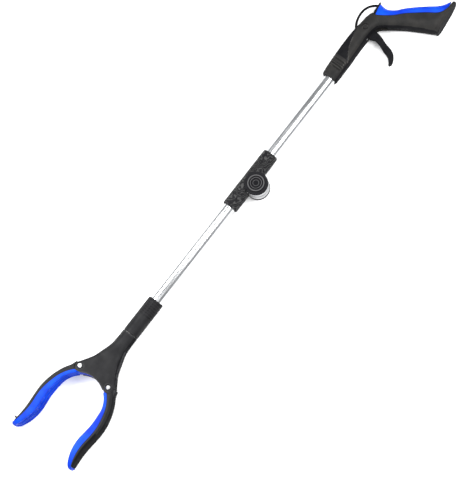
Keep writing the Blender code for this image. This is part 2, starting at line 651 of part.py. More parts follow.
def housing_rows():
    """The handle from nose to tail: front edge, back edge, half width, and where the section is widest."""
    barrel = [
        (175.0, -9.6, 174.6, 11.4, 10.4, 0.5), (178.0, -9.9, 177.8, 12.4, 11.1, 0.5),
        (190.0, -9.9, 190.0, 13.6, 11.8, 0.5), (204.0, -9.6, 204.0, 14.4, 12.3, 0.5),
        (220.0, -8.8, 220.0, 15.0, 12.8, 0.5), (235.0, -8.1, 236.0, 15.1, 13.2, 0.5),
        (248.0, -8.0, 250.0, 14.4, 13.6, 0.5), (258.5, -8.6, 262.0, 13.0, 13.9, 0.5),
        (265.4, -10.0, 273.0, 11.6, 14.1, 0.55), (269.8, -12.5, 281.0, 8.4, 14.2, 0.6),
    ]
    grip = [
        (272.6, -15.8, 279.4, 1.4, 14.2, 1.0), (275.6, -19.8, 283.2, -6.2, 14.3, 1.0),
        (279.0, -25.0, 287.8, -13.2, 14.5, 1.0), (284.0, -32.6, 293.4, -20.6, 14.8, 1.0),
        (289.8, -42.2, 302.3, -29.6, 15.4, 1.0), (295.2, -52.4, 311.4, -41.0, 15.9, 1.0),
        (300.4, -62.8, 320.4, -53.0, 15.9, 1.0), (304.2, -71.2, 327.4, -63.6, 15.6, 1.0),
        (306.0, -75.0, 334.0, -69.2, 15.2, 1.0), (306.6, -76.4, 346.4, -71.8, 14.8, 0.9),
    ]
    tail = [(307.0, -79.0, 357.0, -70.4, 14.6, 0.5), (308.4, -80.0, 358.0, -73.8, 14.0, 0.5)]
    return barrel + grip + tail


def pad_rows():
    """The grip pad from the fin to the tail: its edge on the housing, its outer edge and its half width."""
    return [
        (280.0, 2.0, 298.6, 7.0, 12.6), (283.8, -5.8, 296.8, -2.4, 14.3),
        (288.4, -12.8, 298.4, -9.0, 14.5), (294.0, -20.2, 303.6, -16.4, 14.8),
        (303.0, -29.2, 311.4, -23.6, 15.4), (312.0, -40.6, 321.2, -34.4, 15.9),
        (321.0, -52.6, 331.4, -47.2, 15.9), (328.0, -63.2, 339.8, -58.0, 15.6),
        (334.6, -68.8, 347.0, -64.0, 15.0), (345.6, -71.2, 355.0, -67.4, 11.0),
    ]


def grip_pad():
    loops = []
    for bx, by, qx, qy, half in smooth_rows(pad_rows(), 2):
        loop = []
        count = 8
        for k in range(-count, count + 1):
            across = math.sin(math.pi / 2 * k / count)
            share = max(0.0, 1 - abs(across) ** 2.6) ** (1 / 2.6)
            z = max(-HALF_THICKNESS, min(half * across, HALF_THICKNESS))
            loop.append((*between((bx, by), (qx, qy), share), z))
        loops.append(loop)
    return loft("grip_pad", "handle", RUBBER, loops)


def handle_room():
    """The hollow inside the two handle shells, with its screw posts and trigger bosses left standing."""
    wall = 2.4
    rows = [row for row in housing_rows() if 220 <= row[0] < 306]
    loops = []
    for fx, fy, bx, by, half, peak in rows:
        front, back = Vector((fx, fy)), Vector((bx, by))
        inset = (back - front).normalized() * wall
        ends = tuple(front + inset), tuple(back - inset)
        loops.append(section(*ends, half - wall, min(peak, 0.75), count=7))
    room = loft("cut_handle_room", "handle", None, loops)
    for k, place in enumerate(SCREWS, 1):
        cut(room, rod(f"post_{k}", "handle", None, -16, 16, 3.6, centre=place, steps=20))
    for word, low, high in (("front", TRIGGER_SLOT, 16), ("back", -16, -TRIGGER_SLOT)):
        cut(room, rod("trigger_boss_" + word, "handle", None, low, high, 4.2, centre=TRIGGER_PIVOT, steps=20))
    return room


def handle_shells():
    rows = housing_rows()
    slot = [(246.4, 6.0), (246.4, -14.0), (262.0, -26.0), (277.0, -26.0), (277.0, -10.0), (268.0, 6.0)]
    cable_ends = [(x, cable_height(x)) for x in (215.0, 248.0)]
    shared = [
        handle_room(),
        rod("cut_tube_room", "handle", None, 170, 217, TUBE_R + GAP, "X", steps=40),
        rod("cut_nose_way", "handle", None, 215, 224, 6.0, "X", steps=20),
        prism("cut_trigger_slot", "handle", None, slot, -TRIGGER_SLOT, TRIGGER_SLOT),
        rod("cut_trigger_pin", "handle", None, -12.6, 12.6, 2.2, centre=TRIGGER_PIVOT, steps=20),
        cord("cut_loop_foot", "handle", None, [(248.0, 9.4), (255.2, 17.2)], 2.2, 12),
        cord("cut_cable_way", "handle", None, cable_ends, 1.7),
    ]
    for name, side in (("handle_shell_front", 1), ("handle_shell_back", -1)):
        shell = loft(name, "handle", BLACK, [half_section(r[0:2], r[2:4], r[4], r[5], side) for r in rows])
        cut(shell, *shared)
        for k, place in enumerate(SCREWS, 1):
            if side < 0:
                cut(shell, rod(f"cut_screw_way_{k}", "handle", None, -16, 1, 1.8, centre=place, steps=12),
                    rod(f"cut_screw_head_{k}", "handle", None, -18, -9.0, 3.2, centre=place, steps=16))
            else:
                cut(shell, rod(f"cut_screw_hole_{k}", "handle", None, -1, 8.2, 1.7, centre=place, steps=12))
    peg_way = rod("cut_peg_handle", "handle", None, -16, -5, PEG_R + GAP, centre=(196, 0), steps=12)
    cut(bpy.data.objects["handle_shell_back"], peg_way)
    for k, place in enumerate(SCREWS, 1):
        screw = [(-10.9, 0), (-10.9, 2.6), (-9.3, 2.8), (-9.3, 1.4), (7.2, 1.4), (7.8, 0)]
        turned(f"handle_screw_{k}", "handle", STEEL, screw, "Z", (*place, 0), 12)


def hanging_loop():
    """The arched loop over the top of the handle, with the strip that caps the grip pad's fin."""
    route = [(250.4, 12.0), (254.2, 16.0), (260.0, 19.4), (267.0, 21.6), (274.4, 22.4)]
    route += [(281.6, 21.4), (288.0, 18.4), (293.0, 13.6), (296.0, 9.0)]
    loop = cord("hanging_loop", "handle", BLACK, smooth_rows(route, 3), 1.7, 12)
    strip = [(282.0, 4.2), (299.6, 8.0), (301.4, 10.4), (299.0, 10.2), (285.0, 8.8), (282.0, 7.8)]
    return join(loop, prism("loop_strip", "handle", None, strip, -4.0, 4.0))


def trigger():
    """The trigger lever with its bore and the socket for the cable's nipple."""
    rows = [
        (254.4, 8.0, 261.6, 8.0, 3.9), (251.8, 4.8, 264.0, 4.8, 4.6),
        (250.4, -0.4, 264.6, -0.4, 4.6), (249.8, -6.0, 264.4, -6.4, 4.6),
        (250.4, -11.0, 263.6, -11.6, 4.6), (252.4, -16.6, 262.8, -18.0, 4.6),
        (251.8, -22.6, 260.6, -24.6, 4.7), (249.4, -29.0, 257.8, -31.2, 5.0),
        (246.8, -35.2, 256.0, -37.4, 6.2), (245.0, -41.2, 254.2, -43.4, 6.6),
        (241.6, -46.8, 250.6, -49.2, 6.6), (237.4, -50.6, 244.6, -53.6, 6.0),
        (234.8, -52.4, 238.6, -55.4, 4.4),
    ]
    loops = [section(row[0:2], row[2:4], row[4], power=3.4, count=8) for row in rows]
    lever = loft("trigger_lever", "trigger", BLACK, loops)
    anchor = cable_anchor()
    swing = arc(anchor, 14.0, 140, 186, 4)
    x, y = anchor
    cable_slot = [(x + 0.5, y - 1.2), *reversed(swing), (x + 0.5, y + 1.2)]
    cut(
        lever,
        rod("cut_trigger_bore", "trigger", None, -8, 8, 2.3, centre=TRIGGER_PIVOT, steps=24),
        rod("cut_nipple_room", "trigger", None, -3.8, 3.8, 2.4, centre=anchor, steps=20),
        prism("cut_cable_slot", "trigger", None, cable_slot, -1.3, 1.3),
    )
    pin = [(-12.2, 0), (-12.2, 1.9), (12.2, 1.9), (12.2, 0)]
    turned("trigger_pin", "handle", STEEL, pin, "Z", (*TRIGGER_PIVOT, 0), 20)


def build():
    tubes()
    cables()
    hinge()
    sleeves()
    fold_button()
    neck()
    head_shells()
    puller()
    jaw("upper", 1)
    tip_parts(jaw("lower", -1))
    handle_shells()
    grip_pad()
    hanging_loop()
    trigger()
    weld_cut_pieces()


clear_scene()
BLACK = make_material("black_plastic", (0.030, 0.030, 0.032), 0.42)
RUBBER = make_material("blue_rubber", (0.010, 0.080, 0.620), 0.50)
ALUMINIUM = make_material("aluminium", (0.80, 0.81, 0.83), 0.28, 1.0)
STEEL = make_material("steel", (0.72, 0.72, 0.74), 0.25, 1.0)
METAL = make_material("hinge_metal", (0.50, 0.51, 0.52), 0.35, 0.9)
BRASS = make_material("brass", (0.62, 0.52, 0.28), 0.35, 1.0)
NYLON = make_material("nylon", (0.75, 0.74, 0.70), 0.50)
CABLE = make_material("cable", (0.40, 0.40, 0.42), 0.40, 1.0)
EMPTIES = make_empties()
build()
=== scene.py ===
"""Looks of the folding reacher grabber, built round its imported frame.

Lengths are in millimetres in the tool frame: X along the tube from the jaws to the handle, Y towards the back
of the hand, Z up through the tool's thickness, and zero where the fold axis' X meets the tube's centre line.
"""

import json
import math

import bmesh
import bpy
from mathutils import Matrix, Vector


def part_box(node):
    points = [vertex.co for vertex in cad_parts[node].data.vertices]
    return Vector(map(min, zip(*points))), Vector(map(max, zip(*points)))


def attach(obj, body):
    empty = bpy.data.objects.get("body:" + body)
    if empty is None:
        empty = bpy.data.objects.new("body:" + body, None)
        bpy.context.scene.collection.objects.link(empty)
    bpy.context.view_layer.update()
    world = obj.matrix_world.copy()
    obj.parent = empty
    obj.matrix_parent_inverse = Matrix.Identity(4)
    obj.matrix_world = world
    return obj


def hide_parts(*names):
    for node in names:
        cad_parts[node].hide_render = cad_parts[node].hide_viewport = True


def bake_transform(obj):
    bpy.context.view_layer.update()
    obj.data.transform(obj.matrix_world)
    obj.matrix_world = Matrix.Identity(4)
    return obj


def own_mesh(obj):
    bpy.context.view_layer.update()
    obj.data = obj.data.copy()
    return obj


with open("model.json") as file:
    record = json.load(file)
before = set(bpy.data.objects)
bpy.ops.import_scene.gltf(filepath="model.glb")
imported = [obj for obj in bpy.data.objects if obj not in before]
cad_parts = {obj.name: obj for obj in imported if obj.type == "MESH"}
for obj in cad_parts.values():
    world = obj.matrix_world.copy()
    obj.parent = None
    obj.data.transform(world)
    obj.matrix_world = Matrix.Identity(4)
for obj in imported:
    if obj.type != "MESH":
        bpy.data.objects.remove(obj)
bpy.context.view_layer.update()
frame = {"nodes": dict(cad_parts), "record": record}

MM = 0.001
SPLIT = 0.15  # each half shell stops this far from the mid-plane
HALF_THICKNESS = 15.2
TUBE_R = 8.0
FOLD_AXIS = (0.0, -11.5)
MOUTH_CENTRE = -367.5
MOUTH_R = 36.0
PIVOT_X, PIVOT_Y = -330.0, 24.0
BOSS_R = 7.5
LEVER_HALF = 9.3
LINER_TIP = -438.6
MAGNET_FACE, MAGNET_Y = -443.3, -47.4
TRIGGER_PIVOT = (258.0, 2.2)

# Camera: what it looks at, how far it leans from straight overhead, and how the tube lies in the picture.
LOOK_AT = (-78.5, -31.9, 0.0)
LEAN_X, LEAN_Y = -7.1, -15.0
TUBE_SLOPE = 52.0
DISTANCE = 2300.0
PICTURE_HEIGHT = 634.0


def tool_zero():
    """Where the tool frame's zero is in the row frame, from the upper tube's own box."""
    low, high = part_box("upper_tube")
    return Vector((low.x - 20 * MM, (low.y + high.y) / 2, (low.z + high.z) / 2))


ZERO = tool_zero()


# ---------------------------------------------------------------- shapes

def shape(name, points, faces, sharp=38):
    """A mesh object from points in millimetres in the tool frame."""
    work = bmesh.new()
    verts = [work.verts.new(ZERO + Vector(p) * MM) for p in points]
    for face in faces:
        work.faces.new([verts[i] for i in face])
    bmesh.ops.recalc_face_normals(work, faces=work.faces)
    mesh = bpy.data.meshes.new(name)
    work.to_mesh(mesh)
    work.free()
    mesh.shade_smooth()
    mesh.set_sharp_from_angle(angle=math.radians(sharp))
    obj = bpy.data.objects.new(name, mesh)
    bpy.context.scene.collection.objects.link(obj)
    return obj


def loft(name, loops, sharp=38):
    """A closed skin over loops of equal length, capped at both ends."""
    count = len(loops[0])
    points = [p for loop in loops for p in loop]
    faces = [list(range(count)), list(range(len(points) - count, len(points)))]
    for row in range(len(loops) - 1):
        for i in range(count):
            j = (i + 1) % count
            here, there = row * count, (row + 1) * count
            faces.append([here + i, here + j, there + j, there + i])
    return shape(name, points, faces, sharp)


def turned(name, profile, axis="X", centre=(0, 0, 0), steps=96, ring=False, sharp=30):
    """A turned solid. profile holds (distance along the axis, radius); a ring's profile is closed."""
    points, rows = [], []
    for along, radius in profile:
        turns = 1 if radius == 0 else steps
        row = []
        for k in range(turns):
            angle = 2 * math.pi * k / steps
            a, b = radius * math.cos(angle), radius * math.sin(angle)
            place = (along, a, b) if axis == "X" else (a, b, along)
            row.append(len(points))
            points.append(Vector(centre) + Vector(place))
        rows.append(row)
    faces = []
    pairs = list(zip(rows, rows[1:])) + ([(rows[-1], rows[0])] if ring else [])
    for low, high in pairs:
        for k in range(steps):
            after = k + 1
            quad = [low[k % len(low)], low[after % len(low)], high[after % len(high)], high[k % len(high)]]
            faces.append(list(dict.fromkeys(quad)))
    if not ring:
        faces += [row for row in (rows[0], rows[-1]) if len(row) > 1]
    return shape(name, points, faces, sharp)


def rod(name, low, high, radius, axis="Z", centre=(0, 0), steps=64):
    place = (*centre, 0) if axis == "Z" else (0, *centre)
    return turned(name, [(low, radius), (high, radius)], axis, place, steps)


def prism(name, outline, low, high):
    return loft(name, [[(x, y, z) for x, y in outline] for z in (low, high)])


def block(name, x, y, z):
    return prism(name, [(x[0], y[0]), (x[1], y[0]), (x[1], y[1]), (x[0], y[1])], *z)


def cord(name, points, radius, sides=20):
    """A round cord along points in X and Y, or in X, Y and Z, with rounded ends."""
    path = [Vector(p).to_3d() for p in points]
    loops = []
    for i, point in enumerate(path):
        ahead = (path[min(i + 1, len(path) - 1)] - path[max(i - 1, 0)]).normalized()
        across = Vector((-ahead.y, ahead.x, 0)).normalized()
        up = ahead.cross(across)
        turns = [2 * math.pi * (j + 0.5) / sides for j in range(sides)]
        ring = [point + radius * (across * math.cos(t) + up * math.sin(t)) for t in turns]
        if i == 0:
            loops.append([point - ahead * radius * 0.5 + (p - point) * 0.6 for p in ring])
        loops.append(ring)
        if i == len(path) - 1:
            loops.append([point + ahead * radius * 0.5 + (p - point) * 0.6 for p in ring])
    return loft(name, loops)


def coil(name, start, end, radius, wire, turns, axis="X", centre=(0, 0, 0), steps=28):
    """A helical spring from start to end along the axis."""
    loops = []
    count = int(turns * steps)
    for k in range(count + 1):
        angle = 2 * math.pi * turns * k / count
        along = start + (end - start) * k / count
        loop = []
        for j in range(10):
            around = 2 * math.pi * j / 10
            reach = radius + wire * math.cos(around)
            a, b = reach * math.cos(angle), reach * math.sin(angle)
            height = along + wire * math.sin(around)
            place = (height, a, b) if axis == "X" else (a, b, height)
            loop.append(Vector(centre) + Vector(place))
        loops.append(loop)
    return loft(name, loops, sharp=60)


def curve_point(p, q, r, s, t):
    """A value between q and r on a Catmull-Rom curve, at the share t."""
    return 0.5 * (2 * q + (r - p) * t + (2 * p - 5 * q + 4 * r - s) * t**2 + (3 * q - p - 3 * r + s) * t**3)


def smooth_rows(rows, steps):
    """Rows of numbers, with steps - 1 rows put between each two on Catmull-Rom curves."""
    padded = [rows[0], *rows, rows[-1]]
    out = []
    for i in range(1, len(padded) - 2):
        before, a, b, after = padded[i - 1 : i + 3]
        for k in range(steps):
            out.append(tuple(curve_point(*four, k / steps) for four in zip(before, a, b, after)))
    return out + [tuple(rows[-1])]


def arc(centre, radius, start, end, steps):
    """Points on a circle between two angles in degrees."""
    angles = [math.radians(start + (end - start) * k / steps) for k in range(steps + 1)]
    return [(centre[0] + radius * math.cos(a), centre[1] + radius * math.sin(a)) for a in angles]


def between(start, end, share):
    return tuple(a + (b - a) * share for a, b in zip(start, end))


def ease(value, low, high):
    """0 below low, 1 above high, and smooth between."""
    t = max(0.0, min(1.0, (value - low) / (high - low)))
    return t * t * (3 - 2 * t)


def bump_at(value, centre, width):
    """1 at centre, falling to 0 within about two widths."""
    return math.exp(-(((value - centre) / width) ** 2))


def curve_height(line, x):
    """The Y of a line of points at an X."""
    for (x0, y0), (x1, y1) in zip(line, line[1:]):
        if x <= x1:
            return y0 + (y1 - y0) * max(0.0, (x - x0) / (x1 - x0))
    return line[-1][1]


def carve(obj, operation, *others):
    """Applies Booleans with the other objects, then deletes those."""
    for other in others:
        modifier = obj.modifiers.new("carve", "BOOLEAN")
        modifier.operation = operation
        modifier.solver = "EXACT"
        modifier.object = other
    bpy.context.view_layer.update()
    result = bpy.data.meshes.new_from_object(obj.evaluated_get(bpy.context.evaluated_depsgraph_get()))
    obj.modifiers.clear()
    obj.data = result
    for other in others:
        bpy.data.objects.remove(other)
    obj.data.shade_smooth()
    obj.data.set_sharp_from_angle(angle=math.radians(38))
    return obj


def soften(obj, width, segments=3, angle=38):
    """Rounds a piece's sharp edges."""
    bevel = obj.modifiers.new("soften", "BEVEL")
    bevel.width = width * MM
    bevel.segments = segments
    bevel.limit_method = "ANGLE"
    bevel.angle_limit = math.radians(angle)
    bevel.harden_normals = True
    return obj


def put(obj, body, material, slot, *nodes):
    """Gives a piece its body, material and the CAD nodes that it stands for."""
    obj.data.materials.clear()
    obj.data.materials.append(material)
    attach(obj, body)
    if nodes:
        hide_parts(*nodes)
    return obj


def paint_light_on_faces(obj, smooth, steep=0.6, also=None):
    """Gives an object's steep faces, and those that also picks by X and Y, a second material. On the shells
    this is a darker black that paints shade on the side faces (beside the handle's panel it is partly the
    facet's own tone); on the fold button it is a lighter black that paints highlight on the raised rings.
    """
    obj.data.materials.append(smooth)
    for face in obj.data.polygons:
        x, y, _ = (face.center - ZERO) / MM
        if abs(face.normal.z) < steep or (also and also(x, y)):
            face.material_index = 1


# ---------------------------------------------------------------- materials

class Surface:
    """A material with a Principled shader and short ways to add procedural detail in millimetre scales."""

    def __init__(self, name, color, roughness, metallic=0.0, specular=0.5):
        self.material = bpy.data.materials.new(name)
        self.material.use_nodes = True
        self.nodes = self.material.node_tree.nodes
        self.links = self.material.node_tree.links
        self.shader = self.nodes["Principled BSDF"]
        self.shader.inputs["Base Color"].default_value = (*color, 1)
        self.shader.inputs["Roughness"].default_value = roughness
        self.shader.inputs["Metallic"].default_value = metallic
        self.shader.inputs["Specular IOR Level"].default_value = specular
        self.place = self.nodes.new("ShaderNodeTexCoord").outputs["Object"]
        self.bump_end = None

    def node(self, kind, **settings):
        node = self.nodes.new(kind)
        for key, value in settings.items():
            if key in node.inputs:
                node.inputs[key].default_value = value
            else:
                setattr(node, key, value)
        return node

    def stretched(self, x, y, z):
        """Object coordinates scaled along each axis."""
        mapping = self.node("ShaderNodeMapping")
        mapping.inputs["Scale"].default_value = (x, y, z)
        self.links.new(self.place, mapping.inputs["Vector"])
        return mapping.outputs["Vector"]

    def noise(self, size, detail=3.0, place=None, roughness=0.5):
        node = self.node("ShaderNodeTexNoise", Scale=1 / (size * MM), Detail=detail, Roughness=roughness)
        self.links.new(place or self.place, node.inputs["Vector"])
        return node.outputs["Fac"]

    def ramp(self, value, stops):
        """A colour ramp. stops holds (position, colour)."""
        node = self.node("ShaderNodeValToRGB")
        elements = node.color_ramp.elements
        while len(elements) < len(stops):
            elements.new(0.5)
        for element, (position, color) in zip(elements, stops):
            element.position = position
            element.color = (*color, 1) if isinstance(color, tuple) else (color, color, color, 1)
        self.links.new(value, node.inputs["Fac"])
        return node.outputs["Color"]

    def spread(self, value, low, high):
        """A value between 0.3 and 0.7 spread over another range."""
        node = self.node("ShaderNodeMapRange")
        node.inputs["From Min"].default_value = 0.3
        node.inputs["From Max"].default_value = 0.7
        node.inputs["To Min"].default_value = low
        node.inputs["To Max"].default_value = high
        self.links.new(value, node.inputs["Value"])
        return node.outputs["Result"]

    def mix(self, share, first, second):
        """Two colours mixed by a share. Each colour is a socket or a tuple."""
        node = self.node("ShaderNodeMix", data_type="RGBA")
        for socket, value in ((node.inputs[0], share), (node.inputs[6], first), (node.inputs[7], second)):
            if isinstance(value, tuple):
                socket.default_value = (*value, 1)
            elif isinstance(value, float):
                socket.default_value = value
            else:
                self.links.new(value, socket)
        return node.outputs[2]

    def bump(self, height, depth, strength=1.0):
        """Adds bump of a depth in millimetres."""
        node = self.node("ShaderNodeBump", Strength=strength, Distance=depth * MM)
        self.links.new(height, node.inputs["Height"])
        if self.bump_end:
            self.links.new(self.bump_end, node.inputs["Normal"])
        self.bump_end = node.outputs["Normal"]
        self.links.new(self.bump_end, self.shader.inputs["Normal"])

    def color(self, socket):
        self.links.new(socket, self.shader.inputs["Base Color"])

    def rough(self, socket):
        self.links.new(socket, self.shader.inputs["Roughness"])


def moulded_plastic(name, dark, light, roughness, grain=0.35, grain_depth=0.03, edge_highlight_gain=2.0, ior=1.5):
    """Moulded plastic: fine spark-eroded grain, faint flow mottling, and painted highlight that lightens the
    convex edges by a factor.
    """
    surface = Surface(name, dark, roughness, specular=0.08)
    surface.shader.inputs["IOR"].default_value = ior
    mottle = surface.ramp(surface.noise(14, 4), [(0.35, dark), (0.7, light)])
    # Painted highlight: convex edges, picked by pointiness, are mixed towards a lighter black.
    convexity = surface.node("ShaderNodeNewGeometry").outputs["Pointiness"]
    edge = surface.ramp(convexity, [(0.52, 0.0), (0.6, 1.0)])
    surface.color(surface.mix(edge, mottle, tuple(min(1.0, edge_highlight_gain * c) for c in light)))
    surface.rough(surface.spread(surface.noise(3, 3), roughness - 0.06, roughness + 0.08))
    surface.bump(surface.noise(grain, 2), grain_depth)
    return surface


def soft_rubber(name, base, bright):
    """Blue thermoplastic rubber: silky, with a fine matt skin, and painted shade darkening its grooves."""
    surface = Surface(name, base, 0.5, specular=0.12)
    skin = surface.ramp(surface.noise(18, 3), [(0.3, base), (0.72, bright)])
    curve = surface.node("ShaderNodeNewGeometry").outputs["Pointiness"]
    # Painted shade: hollows, picked by low pointiness, are darkened.
    groove_shade = surface.ramp(curve, [(0.42, 1.0), (0.49, 0.0)])
    surface.color(surface.mix(groove_shade, skin, tuple(0.4 * c for c in base)))
    surface.rough(surface.spread(surface.noise(4, 3), 0.42, 0.58))
    surface.bump(surface.noise(0.5, 3), 0.03)
    return surface


def drawn_aluminium():
    """Satin anodised tube with fine lines along it."""
    surface = Surface("satin_aluminium", (0.56, 0.57, 0.58), 0.3, metallic=1.0)
    lines = surface.noise(0.35, 3, surface.stretched(0.02, 1, 1))
    surface.color(surface.ramp(lines, [(0.3, (0.50, 0.51, 0.52)), (0.7, (0.64, 0.65, 0.66))]))
    surface.rough(surface.spread(surface.noise(6, 3, surface.stretched(0.15, 1, 1)), 0.22, 0.34))
    surface.bump(lines, 0.003)
    return surface


def plain_metal(name, low, high, roughness, grain=0.8, depth=0.01):
    surface = Surface(name, low, roughness, metallic=1.0)
    surface.color(surface.ramp(surface.noise(grain * 4, 3), [(0.35, low), (0.65, high)]))
    surface.rough(surface.spread(surface.noise(grain, 3), roughness - 0.06, roughness + 0.1))
    surface.bump(surface.noise(grain, 2), depth)
    return surface


def leaf_embossed():
    """The fold sleeves' black plastic, embossed with curling veins, with painted highlight on the raised
    ridges.
    """
    surface = moulded_plastic("embossed_black", (0.010, 0.010, 0.011), (0.016, 0.016, 0.017), 0.45)
    swirl = surface.node("ShaderNodeTexNoise", Scale=90.0, Detail=1.0)
    surface.links.new(surface.place, swirl.inputs["Vector"])
    bent = surface.node("ShaderNodeMix", data_type="VECTOR")
    bent.inputs[0].default_value = 0.03
    surface.links.new(surface.place, bent.inputs[4])
    surface.links.new(swirl.outputs["Color"], bent.inputs[5])
    waves = surface.node("ShaderNodeTexWave", Scale=80.0, Distortion=3.2, Detail=1.0)
    waves.bands_direction = "DIAGONAL"
    surface.links.new(bent.outputs[1], waves.inputs["Vector"])
    veins = surface.node("ShaderNodeTexVoronoi", feature="DISTANCE_TO_EDGE", Scale=110.0)
    surface.links.new(bent.outputs[1], veins.inputs["Vector"])
    vein_line = surface.ramp(veins.outputs["Distance"], [(0.0, 1.0), (0.12, 0.0)])
    ridge_height_and_highlight = surface.ramp(waves.outputs["Fac"], [(0.62, 0.0), (0.8, 1.0)])
    # Painted highlight: the raised ridges are coloured lighter than the rest.
    surface.color(surface.mix(ridge_height_and_highlight, (0.009, 0.009, 0.010), (0.045, 0.045, 0.045)))
    surface.bump(ridge_height_and_highlight, 0.9)
    surface.bump(vein_line, 0.5)
    return surface


# ---------------------------------------------------------------- jaws

def jaw_rows(steps=16):
    """The upper jaw from root to tip: inner and outer edge, half width, liner's share and liner's sink."""
    inner = arc((MOUTH_CENTRE, 0), MOUTH_R, 40, 88, 4)
    inner += [(-379.5, 36.9), (-391.5, 36.2), (-403.5, 34.9), (-414.1, 35.2), (-424.3, 37.2), (-432.4, 40.0)]
    inner += [(-438.4, 42.6), (-441.8, 44.8), (-443.2, 46.2)]
    outer = [(-326.0, 30.6), (-334.5, 35.8), (-344.5, 41.8), (-355.5, 46.4), (-367.5, 49.6)]
    outer += [(-379.9, 51.0), (-392.4, 50.4), (-404.4, 49.3), (-414.6, 48.7), (-423.9, 48.9), (-432.3, 49.6)]
    outer += [(-438.6, 50.2), (-441.9, 49.8), (-443.3, 48.6)]
    halves = [12.6, 12.7, 12.9, 13.2, 13.6, 14.2, 14.9, HALF_THICKNESS, HALF_THICKNESS]
    halves += [14.9, 13.8, 11.6, 8.4, 5.0]
    shares = [0.28, 0.32, 0.36, 0.41, 0.47, 0.56, 0.62, 0.62, 0.62, 0.64, 0.68, 0.78, 1.0, 1.0]
    sinks = [0.5, 0.8, 1.2, 1.6, 2.0, 2.2, 2.2, 2.2, 2.2, 2.2, 1.9, 1.4, 0.7, 0.1]
    rows = []
    main = [(*p, *q, *rest) for p, q, *rest in zip(inner, outer, halves, shares, sinks)]
    for *edges, half, share, sink in smooth_rows(main, steps):
        share = share if edges[0] > LINER_TIP - 0.3 else 1.0
        rows.append((*edges, min(half, HALF_THICKNESS), share, max(sink, 0.05)))
    return rows


def jaw_point(row, sign, z, depth):
    """A point of a jaw's section: z across, and depth in millimetres from the inner edge."""
    inner, outer = Vector(row[0:2]), Vector(row[2:4])
    x, y = inner + (outer - inner).normalized() * depth
    return (x, sign * y, z)


def jaw_shell_loop(row, sign):
    """The black jaw's section: flat side faces, a ridge line, then a long chamfer to a crowned back."""
    total = math.dist(row[0:2], row[2:4])
    half, start = row[4], row[5] * total + 0.3
    thick = total - start
    side = [(half - 0.5, start), (half, start + 0.12 * thick), (half, start + 0.42 * thick)]
    side += [(half - 0.35, start + 0.5 * thick), (0.8 * half, start + 0.86 * thick)]
    side += [(0.66 * half, start + 0.95 * thick), (0.4 * half, total), (0.15 * half, total)]
    return [jaw_point(row, sign, z, d) for z, d in side + [(-z, d) for z, d in reversed(side)]]


def liner_floor(x, z, half_floor, sink):
    """The liner's floor: three long ribs, and chevrons towards the tip."""
    ribs = 1.8 * sum(bump_at(z, side * 0.5 * half_floor, 0.9) for side in (1, 0, -1))
    wave = 0.5 + 0.5 * math.sin(2 * math.pi * (x + 0.7 * abs(z)) / 3.4)
    chevrons = 1.5 * ease(-x, 406, 414) * ease(x, -440, -436) * ease(wave, 0.35, 0.75)
    return sink - min(sink * 0.9, max(ribs * (1 - ease(-x, 404, 410)), chevrons))


def liner_loop(row, sign):
    """The soft liner's section: raised rounded borders and a sunk floor."""
    total = math.dist(row[0:2], row[2:4])
    half, sink = row[4], row[6]
    back = row[5] * total
    border = min(2.8, 0.4 * half)
    side = [(half, back), (half, 0.35 * back + 0.5), (half - 0.1, 0.9), (half - 0.4, 0.3), (half - 0.9, 0.03)]
    side += [(half - border + 0.5, 0.0), (half - border + 0.1, 0.12), (half - border - 0.2, 0.5 * sink)]
    side += [(half - border - 0.5, 0.92 * sink)]
    floor_half = half - border - 0.9
    count = 22
    floor = []
    for k in range(count + 1):
        z = floor_half * (1 - 2 * k / count)
        floor.append((z, liner_floor(row[0], z, floor_half, sink)))
    loop = side + floor + [(-z, d) for z, d in reversed(side)]
    return [jaw_point(row, sign, z, d) for z, d in loop]


def boss_rooms(sign, grow=0.7):
    """Cutters that keep a jaw clear of the head's bosses."""
    centre = (PIVOT_X, sign * PIVOT_Y)
    ends = [(LEVER_HALF, 20), (-20, -LEVER_HALF)]
    return [rod("room", low, high, BOSS_R + grow, centre=centre) for low, high in ends]


def grown(outline, distance):
    """An outline with each corner moved out from its middle."""
    middle = Vector([sum(c) / len(outline) for c in zip(*outline)])
    return [tuple(Vector(p) + (Vector(p) - middle).normalized() * distance) for p in outline]


def root_outline(sign):
    corners = [(-6.0, 4.5), (-1.5, -1.0), (2.0, 5.0), (2.6, 8.6), (-5.5, 11.6)]
    return [(PIVOT_X + x, sign * (PIVOT_Y + y)) for x, y in corners]


def jaw_shell(word, sign):
    """The black jaw with its hub, lever and lever pin."""
    backed = [row for row in jaw_rows() if row[0] > LINER_TIP]
    shell = loft(f"jaw_{word}_black", [jaw_shell_loop(row, sign) for row in backed])
    pivot, tip = Vector((PIVOT_X, sign * PIVOT_Y)), Vector((-323.0, sign * 7.3))
    along = (tip - pivot).normalized()
    across = Vector((along.y, -along.x))
    arm = [pivot + 3 * across, tip + 2 * across, tip - 2 * across, pivot - 3 * across]
    carve(
        shell, "UNION",
        rod("hub", -LEVER_HALF, LEVER_HALF, 7.2, centre=pivot),
        prism("root", root_outline(sign), -LEVER_HALF, LEVER_HALF),
        prism("lever", arm, -3.6, 3.6),
        rod("nose", -3.6, 3.6, 2.0, centre=tip),
        rod("pin", -5.4, 5.4, 1.6, centre=tip),
    )
    return carve(shell, "DIFFERENCE", rod("bore", -20, 20, 2.4, centre=pivot), *boss_rooms(sign))


